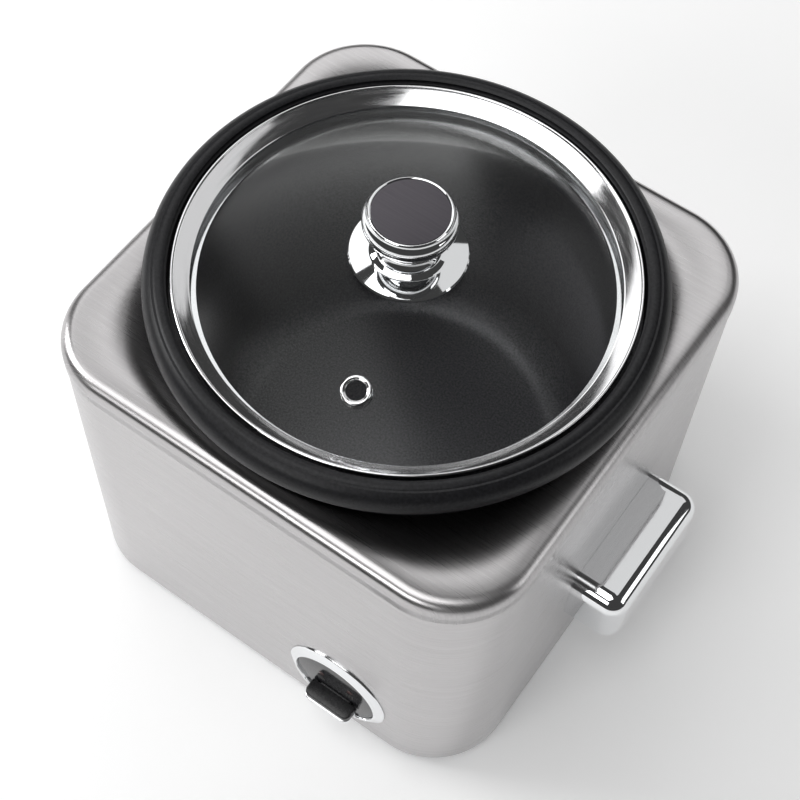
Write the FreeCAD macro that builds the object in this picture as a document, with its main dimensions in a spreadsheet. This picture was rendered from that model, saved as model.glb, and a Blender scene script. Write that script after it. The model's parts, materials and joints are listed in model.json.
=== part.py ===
# Square countertop cooker with a round removable pot, a glass lid and a press-down cook lever.
# Millimetres, +Z up. The origin lies on the pot's axis, on the surface that the feet stand on.
# The front face, with the lever, looks along -Y. The two handles stand out along +X and -X.
import FreeCAD, Part
import math
import os
import Sketcher
from FreeCAD import Placement, Rotation, Vector

doc = FreeCAD.newDocument("cooker")
sheet = doc.addObject("Spreadsheet::Sheet", "Sizes")

SIZES = {
    # housing
    "body_width": 257, "body_depth": 257, "corner_radius": 43, "foot_height": 8,
    "seam_height": 190, "seam_gap": 0.6, "skirt_height": 6, "cap_fillet": 7, "cap_wall": 0.9,
    "shell_inset": 0.5, "shell_wall": 0.8, "opening_radius": 107.5,
    "plate_wall": 1.2, "plate_recess": 2, "plate_margin": 0.4,
    "foot_radius": 11, "foot_reach": 92, "foot_socket": 5, "foot_socket_depth": 5,
    "pillar_reach": 101, "pillar_radius": 4,
    # chamber, heater and thermostat
    "liner_radius": 106, "liner_wall": 0.8, "liner_floor": 38, "liner_flange": 9,
    "heater_radius": 82, "heater_top": 62, "heater_thickness": 12, "heater_hole": 18,
    "element_ring": 55, "element_tube": 4, "post_ring": 70, "post_radius": 4,
    "housing_radius": 17, "housing_wall": 1.4, "housing_height": 13, "rod_hole": 3,
    "sensor_radius": 14.6, "sensor_wall": 1, "sensor_skirt": 14, "sensor_gap": 0.3,
    "ferrite_radius": 9, "ferrite_height": 5.4, "spring_radius": 11.6, "spring_wire": 1, "spring_turns": 5,
    "magnet_radius": 8.6, "magnet_height": 6, "magnet_base": 42,
    "rod_radius": 2.5, "rod_head": 5, "rod_head_height": 3, "rod_bottom": 25.7,
    # pot
    "pot_radius": 102, "pot_wall": 2, "pot_floor": 2.5, "pot_corner": 24, "pot_rim": 214.6,
    "flange_wall": 2, "flange_reach": 113, "ring_reach": 123.5, "ring_crest": 229,
    "ring_foot": 215.6, "ring_skirt": 117, "ring_clearance": 0.5, "recess_radius": 111.5,
    # lid
    "glass_radius": 103.1, "glass_edge": 219.9, "glass_top": 239, "glass_thickness": 4,
    "band_outer": 110, "band_inner": 101.3, "band_top": 226.6, "band_wall": 0.7, "lid_rest": 0.4,
    "vent_across": 21.2, "vent_forward": 70, "vent_bore": 4.8, "vent_flange": 7.2, "vent_sleeve": 5.6,
    "knob_base_radius": 28, "knob_waist": 12.5, "knob_radius": 22, "knob_top": 269.6,
    "knob_disc": 18, "knob_bore": 2.1, "knob_screw": 2, "knob_washer": 9,
    # handles
    "handle_reach": 29, "handle_length": 84, "handle_offset": 11, "handle_base": 58,
    "handle_height": 34, "handle_round": 10, "grip_wall": 5.5, "grip_lip": 4.5, "grip_depth": 24,
    "handle_screw_pitch": 50, "handle_screw_height": 76,
    # switch
    "switch_across": 53.2, "switch_height": 44, "bezel_radius": 30, "bezel_sleeve": 25.4,
    "bezel_throat": 23.6, "bezel_rise": 3, "panel_radius": 24, "panel_wall": 2, "panel_seat": 0.2,
    "lever_height": 34, "slot_half": 11, "slot_rise": 3.5, "slot_drop": 8.2,
    "stem_half": 9.5, "stem_thick": 4, "paddle_half": 14, "paddle_reach": 12, "paddle_thick": 6,
    "arm_height": 24, "arm_wall": 2.5, "arm_half": 7, "pivot_back": 70, "pin_radius": 2,
    "hub_radius": 4.5, "bearing_gap": 0.08, "lens_radius": 2.4, "lens_spread": 9, "lens_lift": 6,
    # rear inlet
    "inlet_half": 19, "inlet_low": 22, "inlet_high": 50, "socket_half": 14, "socket_margin": 4,
    "socket_depth": 16, "inlet_inside": 12, "inlet_pin": 2, "inlet_pitch": 8, "pin_length": 21,
    "pin_recess": 5, "press_gap": 0.05,
}
for row, (alias, number) in enumerate(SIZES.items(), 1):
    sheet.set(f"A{row}", alias)
    sheet.set(f"B{row}", str(number))
    sheet.setAlias(f"B{row}", alias)
doc.recompute()

NODES = []


def full(expression):
    """The expression with each size name pointed at the sheet."""
    text = str(expression)
    word, out = "", ""
    for letter in text + " ":
        if letter.isalpha() or letter == "_":
            word += letter
            continue
        out += ("Sizes." + word if word in SIZES else word) + letter
        word = ""
    return out.strip()


def value(expression):
    """What an expression on the sheet is worth now, as a plain number."""
    found = sheet.evalExpression(full(expression))
    return float(getattr(found, "Value", found))


def new_body(label):
    body = doc.addObject("PartDesign::Body", label)
    body.Label = label
    NODES.append(body)
    return body


def new_sketch(body, role, level):
    """A sketch on one of the body's own planes, moved to a level along +X, +Y or +Z."""
    sketch = body.newObject("Sketcher::SketchObject", body.Label + "_sketch")
    plane = [f for f in body.Origin.OriginFeatures if f.Role == role][0]
    sketch.AttachmentSupport = [(plane, "")]
    sketch.MapMode = "FlatFace"
    sign = "-1 * " if role == "XZ_Plane" else ""
    sketch.setExpression("AttachmentOffset.Base.z", sign + "(" + full(level) + ")")
    return sketch


def bind(sketch, kind, places, expression):
    """A dimension of the sketch that follows the sheet."""
    index = sketch.addConstraint(Sketcher.Constraint(kind, *places, value(expression)))
    sketch.setExpression(f"Constraints[{index}]", full(expression))


def outline(sketch, points):
    """A closed outline. A point is (x, y), or (x, y, radius, turn) where an arc leads on from it."""
    first = sketch.GeometryCount
    spots = [(value(p[0]), value(p[1])) for p in points]
    ends = []
    for index, point in enumerate(points):
        start = Vector(*spots[index], 0)
        end = Vector(*spots[(index + 1) % len(points)], 0)
        if len(point) == 2:
            sketch.addGeometry(Part.LineSegment(start, end))
            ends.append((1, 2))
            continue
        radius, turn = value(point[2]), point[3]
        chord = end - start
        side = Vector(-chord.y, chord.x, 0).normalize() * turn
        centre = (start + end) / 2 + side * math.sqrt(radius ** 2 - chord.Length ** 2 / 4)
        low, high = (start, end) if turn > 0 else (end, start)
        angles = [math.atan2(p.y - centre.y, p.x - centre.x) for p in (low, high)]
        circle = Part.Circle(centre, Vector(0, 0, 1), radius)
        sketch.addGeometry(Part.ArcOfCircle(circle, *angles))
        ends.append((1, 2) if turn > 0 else (2, 1))
    for index, point in enumerate(points):
        here, after = first + index, first + (index + 1) % len(points)
        meet = (here, ends[index][1], after, ends[(index + 1) % len(points)][0])
        sketch.addConstraint(Sketcher.Constraint("Coincident", *meet))
        bind(sketch, "DistanceX", (-1, 1, here, ends[index][0]), point[0])
        bind(sketch, "DistanceY", (-1, 1, here, ends[index][0]), point[1])
        if len(point) == 4:
            bind(sketch, "Radius", (here,), point[2])


def circle(sketch, across, along, radius):
    """A round outline at a place."""
    spot = Vector(value(across), value(along), 0)
    index = sketch.addGeometry(Part.Circle(spot, Vector(0, 0, 1), value(radius)))
    bind(sketch, "DistanceX", (-1, 1, index, 3), across)
    bind(sketch, "DistanceY", (-1, 1, index, 3), along)
    bind(sketch, "Radius", (index,), radius)


def rectangle(sketch, left, low, right, high):
    """An upright rectangle between two corners."""
    outline(sketch, [(left, low), (right, low), (right, high), (left, high)])


def rounded_square(sketch, half_width, half_depth, radius):
    """A rectangle about the origin with round corners."""
    across, along = f"({half_width}) - ({radius})", f"({half_depth}) - ({radius})"
    outline(sketch, [
        (f"-1 * ({across})", f"-1 * ({half_depth})"),
        (across, f"-1 * ({half_depth})", radius, 1), (half_width, f"-1 * ({along})"),
        (half_width, along, radius, 1), (across, half_depth),
        (f"-1 * ({across})", half_depth, radius, 1), (f"-1 * ({half_width})", along),
        (f"-1 * ({half_width})", f"-1 * ({along})", radius, 1)])


def grow(body, kind, sketch, length, flip):
    """Adds a pad or a pocket, and makes sure that it changed the solid."""
    before = body.Shape.Volume if body.Shape and not body.Shape.isNull() else 0.0
    feature = body.newObject("PartDesign::" + kind, body.Label + "_" + kind.lower())
    feature.Profile = sketch
    feature.setExpression("Length", full(length))
    feature.Reversed = flip
    doc.recompute()
    change = body.Shape.Volume - before
    if (change <= 0) if kind == "Pad" else (change >= 0):
        raise ValueError(f"{body.Label}: {kind} changed nothing")
    return feature


def pad(body, role, level, length, draw):
    """Material from a level towards +X, +Y or +Z."""
    sketch = new_sketch(body, role, level)
    draw(sketch)
    return grow(body, "Pad", sketch, length, role == "XZ_Plane")


def pocket(body, role, level, length, draw):
    """A cut from a level towards +X, +Y or +Z."""
    sketch = new_sketch(body, role, level)
    draw(sketch)
    return grow(body, "Pocket", sketch, length, role != "XZ_Plane")


def turned(label, profile, angle=360):
    """A turned piece: a profile of (radius, height), or one that a function draws, about the Z axis."""
    body = new_body(label)
    sketch = new_sketch(body, "XZ_Plane", "0")
    if callable(profile):
        profile(sketch)
    else:
        outline(sketch, profile)
    spun = body.newObject("PartDesign::Revolution", label + "_turn")
    spun.Profile = sketch
    spun.ReferenceAxis = (sketch, ["V_Axis"])
    spun.Angle = angle
    doc.recompute()
    return body


def round_edges(body, radius, wanted):
    """Rounds each edge of the body that the test picks."""
    base = body.Tip
    names = [f"Edge{i}" for i, edge in enumerate(base.Shape.Edges, 1) if wanted(edge.BoundBox)]
    fillet = body.newObject("PartDesign::Fillet", body.Label + "_round")
    fillet.Base = (base, names)
    fillet.setExpression("Radius", full(radius))
    doc.recompute()
    return fillet


def place(item, across="0", along="0", up="0", turn=None):
    """Puts an object at a place given on the sheet, turned first if it has to be."""
    if turn:
        item.Placement = Placement(Vector(), turn)
    for axis, expression in zip("xyz", (across, along, up)):
        item.setExpression("Placement.Base." + axis, full(expression))
    return item


def rod(radius, length, across, along, up, turn=None):
    """A plain round bar that starts at a place and runs along its turned Z axis."""
    bar = doc.addObject("Part::Cylinder", "bar")
    bar.setExpression("Radius", full(radius))
    bar.setExpression("Height", full(length))
    return place(bar, across, along, up, turn)


def joined(label, pieces):
    """Several primitives fused into one node, or kept side by side in it."""
    if len(pieces) == 1:
        whole = pieces[0]
    else:
        whole = doc.addObject("Part::MultiFuse", label)
        whole.Shapes = pieces
    whole.Label = label
    NODES.append(whole)
    return whole


FORWARD = Rotation(Vector(1, 0, 0), 90)      # local Z looks along -Y, local Y looks up
RIGHTWARD = Rotation(Vector(0, 1, 0), 90)    # local Z looks along +X
LEFTWARD = Rotation(Vector(0, 1, 0), -90)    # local Z looks along -X
CORNERS = ((1, 1), (-1, 1), (-1, -1), (1, -1))
FRONT = "body_depth / 2 - shell_inset"       # distance of the shell's front face from the axis
SIDE = "body_width / 2 - shell_inset"
TOP = "seam_height + skirt_height + cap_fillet"


def make_shell():
    """The brushed wrap: one deep tube with holes for the switch, the inlet and the handles."""
    shell = new_body("body_shell")
    rise = "seam_height - seam_gap - foot_height"
    pad(shell, "XY_Plane", "foot_height", rise, lambda s: rounded_square(
        s, SIDE, FRONT, "corner_radius - shell_inset"))
    pocket(shell, "XY_Plane", "foot_height", rise, lambda s: rounded_square(
        s, f"{SIDE} - shell_wall", f"{FRONT} - shell_wall", "corner_radius - shell_inset - shell_wall"))
    pocket(shell, "XZ_Plane", f"-1 * ({FRONT}) - 1", "shell_wall + 2", lambda s: circle(
        s, "switch_across", "switch_height", "bezel_sleeve + 0.3"))
    pocket(shell, "XZ_Plane", f"{FRONT} - shell_wall - 1", "shell_wall + 2", lambda s: rectangle(
        s, "-1 * (inlet_half - 2)", "inlet_low + 2", "inlet_half - 2", "inlet_high - 2"))
    for side in (f"{SIDE} - shell_wall - 1", f"-1 * ({SIDE}) - 1"):
        for sign in "-+":
            along = f"handle_offset {sign} handle_screw_pitch / 2"
            pocket(shell, "YZ_Plane", side, "shell_wall + 2", lambda s: circle(
                s, along, "handle_screw_height", "2.3"))


def make_cover():
    """The pressed top: a shallow cap with a rolled edge and the pot's round opening."""
    cover = new_body("top_cover")
    pad(cover, "XY_Plane", "seam_height", "skirt_height + cap_fillet", lambda s: rounded_square(
        s, "body_width / 2", "body_depth / 2", "corner_radius"))
    pocket(cover, "XY_Plane", "seam_height", "skirt_height + cap_fillet - cap_wall", lambda s:
           rounded_square(s, "body_width / 2 - cap_wall", "body_depth / 2 - cap_wall",
                          "corner_radius - cap_wall"))
    top = value(TOP)
    ceiling = top - value("cap_wall")
    round_edges(cover, "cap_fillet - cap_wall", lambda b: abs(b.ZMin - ceiling) < 0.01
                and abs(b.ZMax - ceiling) < 0.01)
    round_edges(cover, "cap_fillet", lambda b: b.ZMin > top - 0.01)
    pocket(cover, "XY_Plane", f"{TOP} - cap_wall - 1", "cap_wall + 2", lambda s: circle(
        s, "0", "0", "opening_radius"))


def make_base():
    """The steel base plate, its four rubber feet, and the pillars and screws that hold it."""
    plate = new_body("base_plate")
    inset = "shell_inset + shell_wall + plate_margin"
    pad(plate, "XY_Plane", "foot_height + plate_recess", "plate_wall", lambda s: rounded_square(
        s, f"body_width / 2 - {inset.replace('+', '-')}", f"body_depth / 2 - {inset.replace('+', '-')}",
        f"corner_radius - {inset.replace('+', '-')}"))
    for x, y in CORNERS:
        pocket(plate, "XY_Plane", "foot_height + plate_recess - 1", "plate_wall + 2", lambda s: circle(
            s, f"{x} * pillar_reach", f"{y} * pillar_reach", "2.2"))
        pocket(plate, "XY_Plane", "foot_height + plate_recess - 1", "plate_wall + 2", lambda s: circle(
            s, f"{x} * foot_reach", f"{y} * foot_reach - {y} * 14", "2"))
    names = ("foot_rear_right", "foot_rear_left", "foot_front_left", "foot_front_right")
    for name, (x, y) in zip(names, CORNERS):
        foot = turned(name, [
            ("0", "foot_socket_depth"), ("foot_socket", "foot_socket_depth"), ("foot_socket", "0"),
            ("foot_radius - 2", "0"), ("foot_radius", "2"), ("foot_radius", "foot_height + plate_recess"),
            ("0", "foot_height + plate_recess")])
        place(foot, f"{x} * foot_reach", f"{y} * foot_reach - {y} * 14")
        pocket(foot, "XY_Plane", "foot_socket_depth - 1", "foot_height", lambda s: circle(
            s, "0", "0", "2"))
    level = "foot_height + plate_recess + plate_wall"
    joined("foot_screws", [bar for x, y in CORNERS for bar in (
        rod("3.8", "2", f"{x} * foot_reach", f"{y} * foot_reach - {y} * 14", "foot_socket_depth - 2"),
        rod("1.8", f"{level} + 5 - foot_socket_depth", f"{x} * foot_reach",
            f"{y} * foot_reach - {y} * 14", "foot_socket_depth - 1"))])
    pillars = [rod("pillar_radius", f"{TOP} - cap_wall - ({level})", f"{x} * pillar_reach",
                   f"{y} * pillar_reach", level) for x, y in CORNERS]
    bores = [rod("2.05", "16", f"{x} * pillar_reach", f"{y} * pillar_reach", f"{level} - 1")
             for x, y in CORNERS]
    solid = doc.addObject("Part::MultiFuse", "pillar_bars")
    solid.Shapes = pillars
    holes = doc.addObject("Part::MultiFuse", "pillar_holes")
    holes.Shapes = bores
    cut = doc.addObject("Part::Cut", "corner_pillars")
    cut.Label = "corner_pillars"
    cut.Base, cut.Tool = solid, holes
    NODES.append(cut)
    joined("base_screws", [bar for x, y in CORNERS for bar in (
        rod("4", "1.6", f"{x} * pillar_reach", f"{y} * pillar_reach", "foot_height + plate_recess - 1.6"),
        rod("1.95", "14", f"{x} * pillar_reach", f"{y} * pillar_reach", "foot_height + plate_recess - 0.5"))])


def make_chamber():
    """The round liner that the pot hangs in, the cast heater and its posts."""
    under = f"{TOP} - cap_wall"
    turned("chamber_liner", [
        ("rod_hole + 3", "liner_floor"), ("liner_radius + liner_wall", "liner_floor"),
        ("liner_radius + liner_wall", f"{under} - liner_wall"),
        ("liner_radius + liner_flange", f"{under} - liner_wall"), ("liner_radius + liner_flange", under),
        ("liner_radius", under), ("liner_radius", "liner_floor + liner_wall"),
        ("rod_hole + 3", "liner_floor + liner_wall")])
    turned("heater_plate", [
        ("heater_hole", "heater_top - heater_thickness"), ("heater_radius - 6", "heater_top - heater_thickness"),
        ("heater_radius", "heater_top - 5"), ("heater_radius - 2", "heater_top"),
        ("heater_hole", "heater_top")])
    low = "heater_top - heater_thickness - 0.3 - element_tube"
    turned("heating_element", lambda s: circle(s, "element_ring", low, "element_tube"), 330)
    posts, screws = [], []
    for index in range(3):
        angle = math.radians(30 + 120 * index)
        across = f"post_ring * {math.cos(angle):.6f}"
        along = f"post_ring * {math.sin(angle):.6f}"
        base = "liner_floor + liner_wall"
        posts.append(rod("post_radius", f"heater_top - heater_thickness - {base.replace('+', '-')}",
                         across, along, base))
        screws.append(rod("3.4", "1.8", across, along, "liner_floor - 1.8"))
    joined("heater_posts", posts)
    joined("heater_screws", screws)
    band = turned("warming_band", [
        ("liner_radius + liner_wall + 0.3", "80"), ("liner_radius + liner_wall + 2.3", "80"),
        ("liner_radius + liner_wall + 2.3", "118"), ("liner_radius + liner_wall + 0.3", "118")], 340)
    place(band, turn=Rotation(Vector(0, 0, 1), 100))


def make_thermostat():
    """The spring-loaded magnetic thermostat in the middle of the heater."""
    floor = "liner_floor + liner_wall"
    turned("thermostat_housing", [
        ("rod_hole", floor), ("housing_radius", floor), ("housing_radius", f"{floor} + housing_height"),
        ("housing_radius - housing_wall", f"{floor} + housing_height"),
        ("housing_radius - housing_wall", f"{floor} + housing_wall"),
        ("rod_hole", f"{floor} + housing_wall")])
    top = "heater_top - sensor_gap"
    turned("sensor_cap", [
        ("0", f"{top} - sensor_wall"), ("sensor_radius - sensor_wall", f"{top} - sensor_wall"),
        ("sensor_radius - sensor_wall", f"{top} - sensor_skirt"), ("sensor_radius", f"{top} - sensor_skirt"),
        ("sensor_radius", f"{top} - 0.6"), ("sensor_radius - 0.6", top), ("0", top)])
    turned("ferrite", [
        ("0", f"{top} - sensor_wall - ferrite_height"), ("ferrite_radius", f"{top} - sensor_wall - ferrite_height"),
        ("ferrite_radius", f"{top} - sensor_wall"), ("0", f"{top} - sensor_wall")])
    turned("magnet", [
        ("0", "magnet_base"), ("magnet_radius", "magnet_base"),
        ("magnet_radius", "magnet_base + magnet_height"), ("0", "magnet_base + magnet_height")])
    turned("magnet_rod", [
        ("0", "rod_bottom"), ("rod_head", "rod_bottom"), ("rod_head", "rod_bottom + rod_head_height"),
        ("rod_radius", "rod_bottom + rod_head_height"), ("rod_radius", "magnet_base"), ("0", "magnet_base")])
    wire = value("spring_wire")
    low = value(f"{floor} + housing_wall") + 0.3 + wire / 2
    high = value(f"{top} - sensor_wall") - 0.3 - wire / 2
    halves_made = int(2 * value("spring_turns"))
    rise = (high - low) / halves_made
    slope = math.degrees(math.atan(rise / 2 / value("spring_radius")))
    reach = math.hypot(value("spring_radius"), rise / 2)
    halves = []
    for step in range(halves_made):
        half = Part.makeTorus(reach, wire / 2, Vector(), Vector(0, 0, 1), 0, 360, 180)
        tilt = Rotation(Vector(0, 1, 0), slope if step % 2 == 0 else -slope)
        half.Placement = Placement(Vector(0, 0, (step + 0.5) * rise),
                                   tilt * Rotation(Vector(0, 0, 1), 180 * step))
        halves.append(half)
    coil = halves[0].multiFuse(halves[1:]).Solids[0]
    spring = doc.addObject("Part::Feature", "sensor_spring")
    spring.Label = "sensor_spring"
    spring.Shape = coil
    spring.Placement = Placement(Vector(0, 0, low), Rotation())
    NODES.append(spring)


def make_pot():
    """The non-stick aluminium pot with the moulded ring round its rim."""
    rim, floor = "pot_rim", "heater_top"
    inner = "pot_radius - pot_wall"
    turned("inner_pot", [
        ("0", floor), ("pot_radius - pot_corner", floor, "pot_corner", 1),
        ("pot_radius", f"{floor} + pot_corner"), ("pot_radius", f"{rim} - flange_wall - 2", "2", -1),
        ("pot_radius + 2", f"{rim} - flange_wall"), ("flange_reach", f"{rim} - flange_wall"),
        ("flange_reach", rim), ("pot_radius", rim, "pot_wall", 1), (inner, f"{rim} - pot_wall"),
        (inner, f"{floor} + pot_corner", "pot_corner - pot_wall", -1),
        ("pot_radius - pot_corner", f"{floor} + pot_floor"), ("0", f"{floor} + pot_floor")])
    stand = f"{TOP} + ring_clearance"
    turned("pot_rim_ring", [
        ("flange_reach + 0.2", stand), ("ring_skirt", stand), ("ring_skirt + 0.6", "ring_foot - 1.6"),
        ("ring_reach - 0.9", "ring_foot", "1.6", 1), ("ring_reach", "ring_foot + 1.9"),
        ("ring_reach", "ring_foot + 4.4", "9.5", 1), ("ring_reach - 4.9", "ring_crest", "4.2", 1),
        ("recess_radius + 2.6", "ring_crest - 2.4"), ("recess_radius + 2.3", "ring_crest - 3"),
        ("recess_radius", "ring_crest - 3.2"), ("recess_radius", f"{rim} + 0.2"),
        ("flange_reach + 0.2", f"{rim} + 0.2")])


def make_lid():
    """The domed glass, its steel band, the steam vent and the knob."""
    dip = "glass_top - glass_edge"
    crown = f"((band_inner) * (band_inner) + ({dip}) * ({dip})) / (2 * ({dip}))"
    edge = "glass_edge - 0.3"
    top_arc = f"((glass_radius) * (glass_radius) + ({dip} + 0.3) * ({dip} + 0.3)) / (2 * ({dip} + 0.3))"
    glass = turned("lid_glass", [
        ("knob_bore + 1.2", "glass_top - glass_thickness"), ("knob_bore + 1.2", "glass_top", top_arc, -1),
        ("glass_radius", edge), ("glass_radius", "glass_edge - glass_thickness", top_arc, 1)])
    pocket(glass, "XY_Plane", "pot_rim", "glass_top - pot_rim", lambda s: circle(
        s, "vent_across", "-1 * vent_forward", "vent_sleeve + 0.7"))
    base = "pot_rim + lid_rest"
    side = "glass_radius + 0.3"
    turned("lid_band", [
        ("band_inner", "glass_edge + 0.5"), (side, "glass_edge + 0.5"), (side, f"{base} + band_wall"),
        ("glass_radius - 4.5", f"{base} + band_wall"), ("glass_radius - 4.5", base),
        (f"{side} + band_wall + 0.3", base), (f"{side} + band_wall + 0.3", "glass_edge + 1.5"),
        ("band_outer - 0.9", "band_top - 1.2"), ("band_outer", "band_top - 0.8"),
        ("band_outer", "band_top", "0.76", 1), ("band_outer - 1.5", "band_top"),
        ("band_inner", "glass_edge + 1")])
    reach = "sqrt(vent_across * vent_across + vent_forward * vent_forward)"
    drop = f"({reach}) * ({reach}) / (2 * ({crown}))"
    under = "-1 * glass_thickness"
    vent = turned("vent_grommet", [
        ("vent_bore", f"{under} - 1.1"), ("vent_flange", f"{under} - 1.1"), ("vent_flange", f"{under} - 0.3"),
        ("vent_sleeve", f"{under} - 0.3"), ("vent_sleeve", "0.3"), ("vent_flange", "0.3"),
        ("vent_flange - 0.4", "1.2"), ("vent_bore + 0.6", "1.4"), ("vent_bore", "0.6")])
    slope = math.degrees(math.asin(value(reach) / value(crown)))
    across, forward = value("vent_across"), value("vent_forward")
    place(vent, "vent_across", "-1 * vent_forward", f"glass_top - {drop}",
          Rotation(Vector(forward, across, 0), slope))
    seat = "glass_top + 0.4"
    turned("knob_base", [
        ("knob_bore + 0.3", seat), ("knob_base_radius - 0.5", "glass_top - 0.8"),
        ("knob_base_radius", "glass_top - 0.1"), ("knob_base_radius - 0.6", "glass_top + 1.4"),
        ("knob_waist + 4", f"{seat} + 3"), ("knob_waist + 3", f"{seat} + 4"),
        ("knob_bore + 0.3", f"{seat} + 4")])
    foot = f"{seat} + 4"
    turned("knob", [
        ("0", "knob_top - 8"), ("knob_bore", "knob_top - 8"), ("knob_bore", foot),
        ("knob_waist + 2.2", foot, "9.5", -1), ("knob_waist + 2.6", "knob_top - 13"),
        ("knob_radius - 4", "knob_top - 12.2", "6.6", 1), ("knob_radius - 2.5", "knob_top - 0.8", "2.6", 1),
        ("knob_disc + 0.7", "knob_top"), ("knob_disc + 0.1", "knob_top - 1.2"), ("0", "knob_top - 1.2")])
    turned("knob_disc", [
        ("0", "knob_top - 1.2"), ("knob_disc", "knob_top - 1.2"), ("knob_disc", "knob_top - 0.5"),
        ("knob_disc - 0.3", "knob_top - 0.2"), ("0", "knob_top - 0.2")])
    below = "glass_top - glass_thickness"
    turned("knob_washer", [
        ("knob_bore + 0.1", f"{below} - 1.8"), ("knob_washer", f"{below} - 1.8"),
        ("knob_washer", f"{below} - 0.4"), ("knob_bore + 0.1", f"{below} - 0.4")])
    turned("knob_screw", [
        ("0", f"{below} - 4"), ("4", f"{below} - 4"), ("4.4", f"{below} - 1.8"),
        ("knob_screw", f"{below} - 1.8"), ("knob_screw", "knob_top - 9"), ("0", "knob_top - 9")])


def make_handle(label, sign):
    """A chromed block handle with a finger hollow underneath, screwed on from inside."""
    body = new_body(label)
    wall = f"{SIDE} + 0.05"
    reach = "body_width / 2 + handle_reach"

    def span(sketch, inner, outer, trim, role="XY_Plane"):
        edges = (inner, outer) if sign > 0 else (f"-1 * ({outer})", f"-1 * ({inner})")
        low = f"handle_offset - handle_length / 2 + {trim}"
        rectangle(sketch, edges[0], low, edges[1], f"handle_offset + handle_length / 2 - {trim}")

    pad(body, "XY_Plane", "handle_base", "handle_height", lambda s: span(s, wall, reach, "0"))
    far, near = value(reach), value(wall)
    top = value("handle_base + handle_height")
    round_edges(body, "handle_round", lambda b: b.ZLength > 1 and min(abs(b.XMin), abs(b.XMax)) > far - 0.1)
    round_edges(body, "handle_round - 0.5", lambda b: b.ZMin > top - 0.01
                and not (max(abs(b.XMin), abs(b.XMax)) < near + 0.1))
    round_edges(body, "1.5", lambda b: b.ZMax < value("handle_base") + 0.01
                and not (max(abs(b.XMin), abs(b.XMax)) < near + 0.1))
    pocket(body, "XY_Plane", "handle_base - 1", "grip_depth + 1", lambda s: span(
        s, f"{wall} + grip_wall", f"{reach} - grip_lip", "handle_round"))
    start = f"{wall} - 1" if sign > 0 else f"-1 * ({wall}) - grip_wall + 0.5"
    for step in "-+":
        pocket(body, "YZ_Plane", start, "grip_wall + 0.5", lambda s: circle(
            s, f"handle_offset {step} handle_screw_pitch / 2", "handle_screw_height", "2.05"))


def make_handle_screws():
    """Four pan-head screws that hold the handles from inside the shell."""
    bars = []
    for sign, turn in ((1, RIGHTWARD), (-1, LEFTWARD)):
        inner = f"{sign} * ({SIDE} - shell_wall)"
        for step in "-+":
            along = f"handle_offset {step} handle_screw_pitch / 2"
            bars.append(rod("3.8", "2.2", f"{inner} - {sign} * 2.2", along, "handle_screw_height", turn))
            bars.append(rod("1.95", "shell_wall + grip_wall - 0.5", f"{inner} - {sign} * 0.5", along,
                            "handle_screw_height", turn))
    joined("handle_screws", bars)


def make_switch():
    """The round switch: bezel, dark panel, two lenses, and the ring that grips the shell."""
    def face(label, points):
        body = turned(label, points)
        return place(body, "switch_across", f"-1 * ({FRONT})", "switch_height", FORWARD)

    face("switch_bezel", [
        ("panel_radius + 0.2", "-8"), ("bezel_sleeve", "-8"), ("bezel_sleeve", "0.1"),
        ("bezel_radius", "0.1"), ("bezel_radius", "0.6"), ("bezel_radius - 0.7", "1.1"),
        ("bezel_sleeve + 0.4", "bezel_rise"), ("panel_radius + 0.4", "bezel_rise"),
        ("bezel_throat", "bezel_rise - 0.7"), ("bezel_throat", "panel_wall - panel_seat + 0.1"),
        ("panel_radius + 0.2", "panel_wall - panel_seat + 0.1")])
    panel = face("switch_panel", [
        ("0", "-1 * panel_seat"), ("panel_radius", "-1 * panel_seat"),
        ("panel_radius", "panel_wall - panel_seat"), ("0", "panel_wall - panel_seat")])
    mid = "lever_height - switch_height"
    pocket(panel, "XY_Plane", "-1 * panel_seat - 1", "panel_wall + 2", lambda s: rectangle(
        s, "-1 * slot_half", f"{mid} - slot_drop", "slot_half", f"{mid} + slot_rise"))
    for sign in (1, -1):
        pocket(panel, "XY_Plane", "-1 * panel_seat - 1", "panel_wall + 2", lambda s: circle(
            s, f"{sign} * lens_spread", "lens_lift", "lens_radius"))
    outer = f"-1 * ({FRONT})"
    joined("indicator_lenses", [rod("lens_radius - 0.1", "panel_wall + 0.3",
                                    f"switch_across + {sign} * lens_spread", f"{outer} + panel_seat",
                                    "switch_height + lens_lift", FORWARD) for sign in (1, -1)])
    joined("indicator_lamps", [rod("lens_radius", "9", f"switch_across + {sign} * lens_spread",
                                   f"{outer} + panel_seat + 9.3", "switch_height + lens_lift", FORWARD)
                               for sign in (1, -1)])
    face("bezel_clamp", [
        ("bezel_sleeve + 0.05", "-3.4"), ("bezel_sleeve + 4", "-3.4"),
        ("bezel_sleeve + 4", "-0.1 - shell_wall"), ("bezel_sleeve + 0.05", "-0.1 - shell_wall")])
    board = new_body("lamp_board")
    back = f"{outer} + panel_seat + 9.6"
    pad(board, "XZ_Plane", back, "1.6", lambda s: rectangle(
        s, "switch_across - 16", "switch_height + 1", "switch_across + 16", "switch_height + 13"))
    pegs = [rod("1.4", "9.3", f"switch_across + {sign} * 14", back, "switch_height + 11", FORWARD)
            for sign in (1, -1)]
    joined("board_pegs", pegs)


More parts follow.
